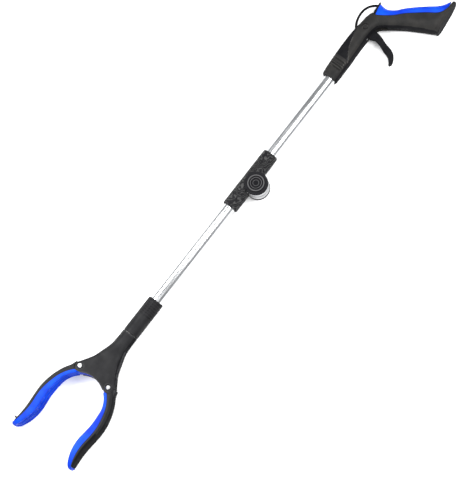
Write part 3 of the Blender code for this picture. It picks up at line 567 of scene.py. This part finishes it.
def jaw_liner(word, sign):
    """The blue liner with the web that runs between the head shells to the middle of the mouth."""
    liner = loft(f"jaw_{word}_liner_soft", [liner_loop(row, sign) for row in jaw_rows()], sharp=60)
    front, back = MOUTH_R + 0.5, MOUTH_R + 2.1
    loops = []
    for x, y in arc((0, 0), 1, 4.2, 44, 40):
        corners = [(front + 0.4, LEVER_HALF), (front, LEVER_HALF - 0.6), (front, 0.6 - LEVER_HALF)]
        corners += [(front + 0.4, -LEVER_HALF), (back, -LEVER_HALF), (back, LEVER_HALF)]
        loops.append([(MOUTH_CENTRE + r * x, sign * r * y, z) for r, z in corners])
    carve(liner, "UNION", loft("web", loops))
    cutters = boss_rooms(sign) + [rod("hub_room", -20, 20, 7.5, centre=(PIVOT_X, sign * PIVOT_Y))]
    cutters.append(prism("root_room", grown(root_outline(sign), 0.6), -20, 20))
    if sign < 0:
        cutters.append(rod("magnet_room", MAGNET_FACE - 2, MAGNET_FACE + 3.9, 1.6, "X", (MAGNET_Y, 0)))
    return carve(liner, "DIFFERENCE", *cutters)


def tip_hook():
    """Two bent prongs on a small foot."""
    x, base = -433.4, 50.3
    foot = soften(block("tip_hook_wire", (x - 3.2, x + 3.2), (base, base + 1.3), (-3.6, 3.6)), 0.5)
    for side in (1, -1):
        z = side * 2.6
        prong = smooth_rows([(x, base + 0.6, z), (x + 0.1, base + 2.6, z), (x + 0.7, base + 4.6, z)], 5)
        carve(foot, "UNION", cord("prong", prong, 0.8, 12))
    return foot


def magnet():
    """A small disc in the end of the lower jaw's tip."""
    return rod("tip_magnet_disc", MAGNET_FACE, MAGNET_FACE + 3.6, 1.5, "X", (MAGNET_Y, 0))


# ---------------------------------------------------------------- head and neck

def head_rows(steps=10):
    """The head's half width and half thickness along X, and how square its section is."""
    rows = [
        (-257.7, 11.0, 11.0, 2.0), (-270.0, 11.2, 11.1, 2.0), (-282.0, 12.0, 11.6, 2.3),
        (-294.0, 15.4, 12.3, 3.0), (-307.0, 19.8, 12.8, 4.2), (-316.0, 24.4, 13.0, 5.4),
        (-323.0, 28.9, 13.0, 6.0), (-328.0, 31.6, 13.0, 6.0), (-338.0, 32.4, 13.0, 6.0),
    ]
    return smooth_rows(rows, steps)


def head_loop(x, width, thickness, power, side, count=72):
    """Half a section of the head, with a long groove sunk in each side wall."""
    loop = [(x, -width, SPLIT * side)]
    for k in range(1, count):
        angle = math.pi * k / count
        y = -width * math.copysign(abs(math.cos(angle)) ** (2 / power), math.cos(angle))
        z = thickness * math.sin(angle) ** (2 / power)
        groove = 1.3 * ease(z, 3.6, 4.6) * (1 - ease(z, 9.4, 10.4))
        groove = groove * ease(-x, 268, 284) * ease(abs(y), 0.8 * width, 0.95 * width)
        loop.append((x, y - math.copysign(groove, y), side * max(z, 3 * SPLIT)))
    return loop + [(x, width, SPLIT * side)]


def head_room():
    """The space for the levers, the puller and the spring."""
    half = [(-296, 0.0), (-296, 6.5), (-306, 14.6), (-315, 19.6), (-321, 24.0), (-323.6, 27.4)]
    half += [(-322, 34.0), (-345, 40.0), (-345, 0.0)]
    return prism("room", half + [(x, -y) for x, y in half[-2:0:-1]], -9.7, 9.7)


def head_shell(word, side):
    """One half of the head, open at the mouth, with a ring sunk round each jaw pin."""
    shell = loft(f"head_{word}", [head_loop(*row, side) for row in head_rows()])
    bush_room = [(-271.4, 0), (-271.4, 9.9), (-266.6, 9.9), (-266.6, 8.1), (-257, 8.1), (-257, 0)]
    cutters = [
        rod("mouth", -20, 20, MOUTH_R, centre=(MOUTH_CENTRE, 0), steps=240),
        head_room(),
        turned("bush_room", bush_room),
        rod("spring_way", -300, -270, 3.0, "X"),
    ]
    for sign in (1, -1):
        pivot = (PIVOT_X, sign * PIVOT_Y)
        trim = block("trim", (-360, PIVOT_X), sorted((sign * 19.4, sign * 45.0)), (-20, 20))
        cutters.append(carve(trim, "DIFFERENCE", rod("boss", -21, 21, BOSS_R, centre=pivot, steps=96)))
        cutters.append(rod("pin_way", -20, 20, 2.3, centre=pivot))
        ring = [(side * 10.6, 3.4), (side * 14, 3.4), (side * 14, 4.6), (side * 10.6, 4.6)]
        cutters.append(turned("ring", ring, "Z", (*pivot, 0), ring=True))
        if side < 0:
            place = (-284.0, sign * 6.9)
            cutters.append(rod("screw_way", -14, 1, 1.6, centre=place))
            cutters.append(rod("screw_head", -14, -7.6, 2.9, centre=place))
    return soften(carve(shell, "DIFFERENCE", *cutters), 0.35, 2)


def neck_sleeve():
    """A round sleeve whose ribs stop each side of a smooth strip on the front and back."""
    count, loops = 144, []
    low, high, pitch = -257.2, -202.5, 3.5
    stations = [low, low + 0.15, low + 0.5]
    stations += [low + 0.5 + 0.25 * k for k in range(1, 214)]
    stations += [high - 0.5, high - 0.15, high]
    for x in stations:
        round_off = 0.5 * (1 - ease(x, low, low + 0.5)) + 0.7 * ease(x, high - 0.9, high)
        loop = []
        for k in range(count):
            angle = 2 * math.pi * k / count
            strip = 1 - ease(abs(math.cos(angle)), 0.06, 0.12)
            sides = 1 - ease(abs(math.cos(angle)), 0.86, 0.94)
            ribbed = ease(x, high - 26.5, high - 26.0) * (1 - ease(x, high - 2.2, high - 1.8))
            wave = ease(0.5 + 0.5 * math.cos(2 * math.pi * (x - high + 3.6) / pitch), 0.3, 0.6)
            r = 11.0 - round_off - 0.9 * ribbed * wave * (1 - strip) * sides
            loop.append((x, r * math.cos(angle), r * math.sin(angle)))
        loops.append(loop)
    sleeve = loft("neck_ribbed", loops)
    return carve(
        sleeve, "DIFFERENCE",
        rod("tube_way", -250.3, -200, TUBE_R + 0.3, "X"),
        rod("bush_way", -260, -250, TUBE_R, "X"),
        rod("peg_way", -12, -5, 1.6, centre=(-225, 0)),
    )


# ---------------------------------------------------------------- fold joint

def fold_sleeve(word, side):
    """A sleeve with a rounded end, cut round the knuckles."""
    outer = [(0.25, 10.6), (0.6, 10.95), (1.2, 11.0), (42.8, 11.0), (44.2, 10.75), (44.8, 10.2), (45.0, 9.4)]
    inner = [(45.0, TUBE_R + 0.3), (20.0, TUBE_R + 0.3), (20.0, 9.0), (0.25, 9.0)]
    sleeve = turned(f"{word}_fold_sleeve", [(side * x, r) for x, r in outer + inner], ring=True, steps=128)
    carve(
        sleeve, "DIFFERENCE",
        rod("knuckle_room", -16, 16, 16.4, centre=FOLD_AXIS, steps=128),
        rod("peg_way", -12, -5, 1.6, centre=(side * 38, 0)),
    )
    return soften(sleeve, 0.4, 3, 50)


def fold_front_cap():
    """The rim round the fold button."""
    ring = [(8.8, 3.4), (8.8, 15.8), (9.0, 16.0), (12.3, 16.0), (12.9, 15.8), (13.2, 15.3), (13.2, 12.6)]
    ring += [(13.0, 12.1), (12.6, 12.0), (9.8, 12.0), (9.8, 3.4)]
    return turned("fold_rim", ring, "Z", (*FOLD_AXIS, 0), 128, ring=True)


def fold_button():
    """The round button: three raised rings round a small plain dome."""
    at = (*FOLD_AXIS, 0)
    body = [(-4, 0), (-4, 1.5), (13.0, 1.5), (13.0, 6.2), (12.3, 6.6), (12.3, 11.4)]
    body += [(12.5, 11.6), (13.7, 11.6), (14.1, 11.4)]
    outer_ring = [(14.3, 10.9), (14.3, 9.9), (14.1, 9.6), (13.6, 9.3), (13.6, 8.3)]
    middle_ring = [(14.0, 8.0), (14.3, 7.7), (14.3, 7.1), (14.0, 6.8), (13.7, 6.5)]
    inner_ring = [(13.7, 4.6), (14.0, 4.3), (14.0, 3.7), (13.7, 3.4)]
    dome = [(13.7, 2.2), (13.9, 1.9), (14.1, 1.2), (14.2, 0)]
    profile = body + outer_ring + middle_ring + inner_ring + dome
    return turned("fold_push_button", profile, "Z", at, 128, sharp=50)


def on_ridge(x, y):
    """Whether a point of the button's face is on one of its raised rings."""
    radius = math.dist((x, y), FOLD_AXIS)
    return any(low < radius < high for low, high in ((9.8, 11.2), (7.0, 7.8), (3.6, 4.4)))


def cable_over_fold():
    """The flexible stretch of the pull cable, which bends round the fold joint."""
    half = [(25.8, 0.0), (18.0, -0.6), (8.0, -3.9)]
    dip = half + [(0.0, -5.4)] + [(-x, y) for x, y in reversed(half)]
    return cord("cable_over_fold", smooth_rows(dip, 12), 0.8)


def fold_back_cap():
    """The plain cap on the back, with one sunk ring."""
    profile = [(-13.8, 0), (-13.8, 9.0), (-13.4, 9.4), (-13.4, 10.4), (-13.8, 10.8), (-13.8, 14.9)]
    profile += [(-13.5, 15.6), (-13.0, 16.0), (-11.0, 16.0), (-10.8, 15.8), (-10.8, 6.4), (-12.4, 6.4)]
    profile.append((-12.4, 0))
    return turned("fold_back", profile, "Z", (*FOLD_AXIS, 0), 128)


# ---------------------------------------------------------------- handle

# The upper edge of the flat panel in the handle's side
PANEL_LINE = [
    (203.0, -9.5), (208.0, -5.8), (214.0, -1.4), (221.5, 2.6),
    (230.0, 5.8), (240.0, 8.4), (252.0, 10.4), (266.0, 11.2),
]
# Each groove's X, and the Y that it starts at
NOSE_GROOVES = [(190.0, -7.4), (193.6, -7.2), (197.2, -6.8), (200.8, -6.4)]


def housing_rows(steps=14):
    """The handle from nose to tail: front edge, back edge, half width, and where the section is widest."""
    barrel = [
        (175.0, -9.6, 174.6, 11.4, 10.4, 0.5), (178.0, -9.9, 177.8, 12.4, 11.1, 0.5),
        (190.0, -9.9, 190.0, 13.6, 11.8, 0.5), (204.0, -9.6, 204.0, 14.4, 12.3, 0.5),
        (220.0, -8.8, 220.0, 15.0, 12.8, 0.5), (235.0, -8.1, 236.0, 15.1, 13.2, 0.5),
        (248.0, -8.0, 250.0, 14.4, 13.6, 0.5), (258.5, -8.6, 262.0, 13.0, 13.9, 0.5),
        (265.4, -10.0, 273.0, 11.6, 14.1, 0.55), (269.8, -12.5, 281.0, 8.4, 14.2, 0.6),
    ]
    grip = [
        (272.6, -15.8, 279.4, 1.4, 14.2, 1.0), (275.6, -19.8, 283.2, -6.2, 14.3, 1.0),
        (279.0, -25.0, 287.8, -13.2, 14.5, 1.0), (284.0, -32.6, 293.4, -20.6, 14.8, 1.0),
        (289.8, -42.2, 302.3, -29.6, 15.4, 1.0), (295.2, -52.4, 311.4, -41.0, 15.9, 1.0),
        (300.4, -62.8, 320.4, -53.0, 15.9, 1.0), (304.2, -71.2, 327.4, -63.6, 15.6, 1.0),
        (306.0, -75.0, 334.0, -69.2, 15.2, 1.0), (306.6, -76.4, 346.4, -71.8, 14.8, 0.9),
    ]
    tail = [(307.0, -79.0, 357.0, -70.4, 14.6, 0.5), (308.4, -80.0, 358.0, -73.8, 14.0, 0.5)]
    rows = smooth_rows(barrel + grip + tail, steps)
    return [(*row[:2], min(row[2], tail[-1][2]), *row[3:]) for row in rows]


def housing_relief(x, y):
    """How far the handle's side stands proud: the flat panel, and the grooves at the nose."""
    if x > 290:
        return 0.0
    panel = 1.3 * ease(curve_height(PANEL_LINE, x) - y, -0.4, 0.4)
    panel = panel * (1 - ease(x, 262, 282)) * ease(x, 200, 206)
    top_end = 1 - ease(y, 11.6, 12.6)
    grooves = sum(bump_at(x, at, 0.75) * ease(y, low, low + 0.8) * top_end for at, low in NOSE_GROOVES)
    return panel - 1.6 * grooves


def housing_loop(row, side, count=44, power=3.0):
    """Half a section of the handle, from its front edge to its back edge."""
    front, back, half, peak = row[0:2], row[2:4], row[4], row[5]
    loop = [(*front, SPLIT * side)]
    for k in range(count + 1):
        share = 0.004 + 0.996 * (0.5 - 0.5 * math.cos(math.pi * k / count))
        reach = abs(share - peak) / (peak if share < peak else 1 - peak) if share != peak else 0
        z = min(half * max(0.0, 1 - reach**power) ** (1 / power), HALF_THICKNESS)
        x, y = between(front, back, share)
        z = min(z + housing_relief(x, y) * ease(z / half, 0.3, 0.75), HALF_THICKNESS)
        loop.append((x, y, side * max(z, 4 * SPLIT)))
    return loop + [(*back, SPLIT * side)]


def handle_shell(word, side):
    """One half of the handle: nose socket, trigger slot, pivot hole with a sunk ring, and on the back half
    screw holes.
    """
    shell = loft(f"handle_{word}", [housing_loop(row, side) for row in housing_rows()])
    slot = [(246.4, 6.0), (246.4, -14.0), (262.0, -26.0), (277.0, -26.0), (277.0, -10.0), (268.0, 6.0)]
    ring = [(side * 13.2, 3.4), (side * 16, 3.4), (side * 16, 4.4), (side * 13.2, 4.4)]
    cutters = [
        rod("tube_room", 170, 217, TUBE_R + 0.3, "X"),
        prism("trigger_slot", slot, -5.2, 5.2),
        rod("pin_room", -12.6, 12.6, 2.2, centre=TRIGGER_PIVOT),
        cord("loop_foot", [(248.0, 9.4), (255.2, 17.2)], 2.2),
        turned("pivot_ring", ring, "Z", (*TRIGGER_PIVOT, 0), ring=True),
    ]
    if side < 0:
        cutters.append(rod("peg_way", -16, -5, 1.6, centre=(196, 0)))
        for place in ((228.0, 7.0), (274.0, 3.0), (296.0, -41.0), (324.0, -70.0)):
            cutters.append(rod("screw_way", -16, 1, 1.8, centre=place))
            cutters.append(rod("screw_head", -18, -9.0, 3.2, centre=place))
    return soften(carve(shell, "DIFFERENCE", *cutters), 0.3, 2, 50)


def beside_panel(x, y):
    """Whether a point of the barrel's side is on the back's side of the flat panel's edge."""
    return 206 < x < 258 and y > curve_height(PANEL_LINE, x)


def pivot_mark():
    """The plug over the trigger pin, with an open ring in it."""
    centre = (*TRIGGER_PIVOT, 0)
    plug = turned("pivot_plug", [(12.8, 0), (12.8, 3.1), (14.6, 3.1), (14.9, 2.8), (14.9, 0)], "Z", centre)
    ring = turned("ring", [(14.3, 1.1), (16, 1.1), (16, 2.1), (14.3, 2.1)], "Z", centre, ring=True)
    carve(ring, "DIFFERENCE", block("gap", (TRIGGER_PIVOT[0], 262), (2.0, 4.4), (10, 18)))
    return soften(carve(plug, "DIFFERENCE", ring), 0.12, 2)


def grip_pad():
    """The soft pad from its fin to the tail: its edge on the housing, its outer edge and its half width."""
    rows = [
        (280.0, 2.0, 298.6, 7.0, 12.6), (283.8, -5.8, 296.8, -2.4, 14.3),
        (288.4, -12.8, 298.4, -9.0, 14.5), (294.0, -20.2, 303.6, -16.4, 14.8),
        (303.0, -29.2, 311.4, -23.6, 15.4), (312.0, -40.6, 321.2, -34.4, 15.9),
        (321.0, -52.6, 331.4, -47.2, 15.9), (328.0, -63.2, 339.8, -58.0, 15.6),
        (334.6, -68.8, 347.0, -64.0, 15.0), (345.6, -71.2, 355.0, -67.4, 11.0),
    ]
    loops = []
    count = 36
    for bx, by, qx, qy, half in smooth_rows(rows, 14):
        loop = []
        for k in range(-count, count + 1):
            across = math.sin(math.pi / 2 * k / count)
            share = max(0.0, 1 - abs(across) ** 2.6) ** (1 / 2.6)
            z = max(-HALF_THICKNESS, min(half * across, HALF_THICKNESS))
            loop.append((*between((bx, by), (qx, qy), share), z))
        loops.append(loop)
    return soften(loft("grip_pad_soft", loops, sharp=50), 0.6, 3, 50)


def hanging_loop():
    """The arched loop and the strip that caps the pad's fin."""
    route = [(250.4, 12.0), (254.2, 16.0), (260.0, 19.4), (267.0, 21.6), (274.4, 22.4)]
    route += [(281.6, 21.4), (288.0, 18.4), (293.0, 13.6), (296.0, 9.0)]
    loop = cord("arched_loop", smooth_rows(route, 10), 1.7, 24)
    strip = [(282.0, 4.2), (299.6, 8.0), (301.4, 10.4), (299.0, 10.2), (285.0, 8.8), (282.0, 7.8)]
    return soften(carve(loop, "UNION", prism("strip", strip, -4.0, 4.0)), 0.4, 2)


def trigger():
    """The trigger lever, with a finger step on its back and sunk side faces."""
    rows = [
        (254.4, 8.0, 261.6, 8.0, 3.9), (251.8, 4.8, 264.0, 4.8, 4.6),
        (250.4, -0.4, 264.6, -0.4, 4.6), (249.8, -6.0, 264.4, -6.4, 4.6),
        (250.4, -11.0, 263.6, -11.6, 4.6), (252.4, -16.6, 262.8, -18.0, 4.6),
        (251.8, -22.6, 260.6, -24.6, 4.7), (249.4, -29.0, 257.8, -31.2, 5.0),
        (246.8, -35.2, 256.0, -37.4, 6.2), (245.0, -41.2, 254.2, -43.4, 6.6),
        (241.6, -46.8, 250.6, -49.2, 6.6), (237.4, -50.6, 244.6, -53.6, 6.0),
        (234.8, -52.4, 238.6, -55.4, 4.4),
    ]
    loops = []
    count = 26
    for fx, fy, bx, by, half in smooth_rows(rows, 10):
        side = []
        for k in range(count + 1):
            share = 0.5 - 0.5 * math.cos(math.pi * k / count)
            z = half * max(0.0, 1 - abs(2 * share - 1) ** 3.6) ** (1 / 3.6)
            sunk = ease(share, 0.24, 0.32) * (1 - ease(share, 0.68, 0.76))
            upper = ease(-fy, 12, 14) * (1 - ease(-fy, 28, 30))
            lower = ease(-fy, 33, 35) * (1 - ease(-fy, 47, 49))
            side.append((*between((fx, fy), (bx, by), share), z - 0.8 * sunk * max(upper, lower)))
        loops.append(side + [(x, y, -z) for x, y, z in side[-2:0:-1]])
    lever = loft("trigger_curved", loops)
    anchor = (TRIGGER_PIVOT[0] - 2.87, TRIGGER_PIVOT[1] - 9.12)
    swing = arc(anchor, 14.0, 140, 186, 8)
    slot = [(anchor[0] + 0.5, anchor[1] - 1.2), *reversed(swing), (anchor[0] + 0.5, anchor[1] + 1.2)]
    return carve(
        lever, "DIFFERENCE",
        rod("bore", -8, 8, 2.3, centre=TRIGGER_PIVOT),
        rod("nipple_room", -3.8, 3.8, 2.4, centre=anchor),
        prism("cable_slot", slot, -1.3, 1.3),
    )


# ---------------------------------------------------------------- whole object


def put_soft_pieces(wire, steel):
    """The cable's curved stretch over the fold joint, and the two coil springs."""
    cable = cable_over_fold()
    cable.data.materials.append(wire)
    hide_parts("fold_cable_bridge")
    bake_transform(cable)
    spring = coil("spring_of_puller", -318.4, -297.0, 3.4, 0.4, 6.5)
    put(spring, "head", steel, "steel", "return_spring")
    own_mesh(spring)
    spring = coil("spring_of_button", 10.2, 12.5, 4.6, 0.25, 2.5, "Z", (*FOLD_AXIS, 0))
    put(spring, "handle", steel, "steel", "fold_button_spring")
    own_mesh(spring)


def build_pieces():
    black = moulded_plastic(
        "head_black", (0.010, 0.010, 0.011), (0.017, 0.017, 0.018), 0.5, 0.9, 0.12
    ).material
    handle_black = moulded_plastic(
        "handle_black", (0.012, 0.012, 0.012), (0.021, 0.020, 0.019), 0.55, 0.8, 0.12
    ).material
    # Smooth black plastic for the trigger, loop, hook, caps and button; on the shells' side faces it is a
    # darker copy of their black that paints shade.
    smooth_black_and_side_shade = moulded_plastic(
        "smooth_black_and_side_shade", (0.007, 0.007, 0.008), (0.011, 0.011, 0.012), 0.5, 0.3, 0.012, ior=1.12
    ).material
    # A lighter black: on the fold button's raised rings it is painted highlight; on the trigger's pivot plug
    # it is the plug's lighter grey.
    ridge_highlight_and_plug_grey = moulded_plastic("ridge_highlight_and_plug_grey", (0.040, 0.040, 0.041), (0.060, 0.060, 0.061), 0.4).material
    embossed = leaf_embossed().material
    blue = soft_rubber("blue_soft", (0.001, 0.024, 0.38), (0.003, 0.060, 0.60)).material
    steel = plain_metal("bright_steel", (0.82, 0.82, 0.84), (0.93, 0.93, 0.94), 0.22).material
    cast = plain_metal("cast_metal", (0.36, 0.365, 0.37), (0.46, 0.46, 0.47), 0.45, 0.6, 0.04).material
    brass = plain_metal("dull_brass", (0.50, 0.42, 0.22), (0.66, 0.56, 0.32), 0.36).material
    wire = plain_metal("wire_rope", (0.30, 0.30, 0.31), (0.48, 0.48, 0.50), 0.4, 0.3, 0.06).material
    nylon = moulded_plastic("natural_nylon", (0.66, 0.65, 0.60), (0.74, 0.73, 0.69), 0.5).material
    alloy = drawn_aluminium().material

    for word, sign in (("upper", 1), ("lower", -1)):
        body = "jaw_" + word
        shell = put(jaw_shell(word, sign), body, black, "black_plastic", body + "_shell")
        # Painted shade: the jaw's steep side faces take the darker black.
        paint_light_on_faces(shell, smooth_black_and_side_shade)
        put(jaw_liner(word, sign), body, blue, "blue_rubber", body + "_liner")
    put(tip_hook(), "jaw_upper", smooth_black_and_side_shade, "black_plastic", "tip_hook")
    put(magnet(), "jaw_lower", steel, "steel", "tip_magnet")
    for word, side in (("front", 1), ("back", -1)):
        shell = put(head_shell(word, side), "head", black, "black_plastic", "head_shell_" + word)
        # Painted shade: the head's steep side faces take the darker black.
        paint_light_on_faces(shell, smooth_black_and_side_shade)
        shell = put(handle_shell(word, side), "handle", handle_black, "black_plastic", "handle_shell_" + word)
        # Painted shade on the handle's steep faces; beside the panel the darker black is partly the facet's
        # own tone and partly painted shade.
        paint_light_on_faces(shell, smooth_black_and_side_shade, 0.5, beside_panel)
    put(neck_sleeve(), "lower_arm", black, "black_plastic", "neck_sleeve")
    put(fold_sleeve("lower", -1), "lower_arm", embossed, "black_plastic", "lower_sleeve")
    put(fold_sleeve("upper", 1), "handle", embossed, "black_plastic", "upper_sleeve")
    put(fold_front_cap(), "handle", smooth_black_and_side_shade, "black_plastic", "fold_cap_front")
    put(fold_back_cap(), "handle", smooth_black_and_side_shade, "black_plastic", "fold_cap_back")
    button = put(fold_button(), "fold_button", smooth_black_and_side_shade, "black_plastic", "fold_button_cap")
    # Painted highlight: the button's raised rings take the lighter black.
    paint_light_on_faces(button, ridge_highlight_and_plug_grey, 0.0, on_ridge)
    put(pivot_mark(), "handle", ridge_highlight_and_plug_grey, "black_plastic")
    put(grip_pad(), "handle", blue, "blue_rubber", "grip_pad")
    put(hanging_loop(), "handle", smooth_black_and_side_shade, "black_plastic", "hanging_loop")
    put(trigger(), "trigger", smooth_black_and_side_shade, "black_plastic", "trigger_lever")

    finishes = {
        "black_plastic": smooth_black_and_side_shade, "steel": steel, "hinge_metal": cast, "brass": brass,
        "cable": wire, "nylon": nylon, "aluminium": alloy, "blue_rubber": blue,
    }
    put_soft_pieces(wire, steel)
    slots = {part["node"]: part["material_slot"] for part in frame["record"]["subparts"]}
    for name, obj in frame["nodes"].items():
        if obj.hide_render:
            continue
        for slot in obj.material_slots:
            slot.material = finishes[slots[name]]


# ---------------------------------------------------------------- stage

def make_camera():
    data = bpy.data.cameras.new("camera")
    camera = bpy.data.objects.new("camera", data)
    bpy.context.scene.collection.objects.link(camera)
    target = ZERO + Vector(LOOK_AT) * MM
    lean = Vector((math.tan(math.radians(LEAN_X)), math.tan(math.radians(LEAN_Y)), 1.0)).normalized()
    slope = math.radians(TUBE_SLOPE)
    up = Vector((math.sin(slope), math.cos(slope), 0))
    backward = lean
    right = up.cross(backward).normalized()
    up = backward.cross(right)
    turn = Matrix((right, up, backward)).transposed()
    camera.matrix_world = Matrix.Translation(target + lean * DISTANCE * MM) @ turn.to_4x4()
    data.sensor_fit = "VERTICAL"
    data.sensor_height = 24
    data.lens = 24 * DISTANCE / PICTURE_HEIGHT
    data.clip_start = 0.05
    data.clip_end = 20
    bpy.context.scene.camera = camera


def make_floor():
    floor = bpy.data.meshes.new("floor")
    floor.from_pydata([(-6, -6, 0), (6, -6, 0), (6, 6, 0), (-6, 6, 0)], [], [(0, 1, 2, 3)])
    obj = bpy.data.objects.new("floor", floor)
    bpy.context.scene.collection.objects.link(obj)
    surface = Surface("pale_floor", (0.93, 0.93, 0.93), 0.8, specular=0.1)
    surface.color(surface.ramp(surface.noise(40, 2), [(0.3, 0.92), (0.7, 0.94)]))
    floor.materials.append(surface.material)


def add_softbox(name, place, length, width, power):
    """A light, long in X, that faces the tool's own X."""
    data = bpy.data.lights.new(name, "AREA")
    data.shape = "RECTANGLE"
    data.size = length
    data.size_y = width
    data.energy = power
    light = bpy.data.objects.new(name, data)
    light.location = place
    light.rotation_euler = (math.atan2(place[1], place[2]) * -1, 0, 0)
    bpy.context.scene.collection.objects.link(light)


def make_light():
    world = bpy.data.worlds.new("studio")
    world.use_nodes = True
    background = world.node_tree.nodes["Background"]
    background.inputs["Color"].default_value = (0.97, 0.985, 1.0, 1)
    background.inputs["Strength"].default_value = 0.36
    bpy.context.scene.world = world
    add_softbox("key", (-0.36, 0.56, 0.78), 0.8, 0.4, 15)
    add_softbox("fill", (0.42, -0.34, 0.9), 0.64, 0.5, 14)
    add_softbox("mouth_fill", (-0.5, -0.32, 0.75), 0.3, 0.3, 4)
    view = bpy.context.scene.view_settings
    view.view_transform = "Standard"
    view.look = "None"


build_pieces()
make_camera()
make_floor()
make_light()
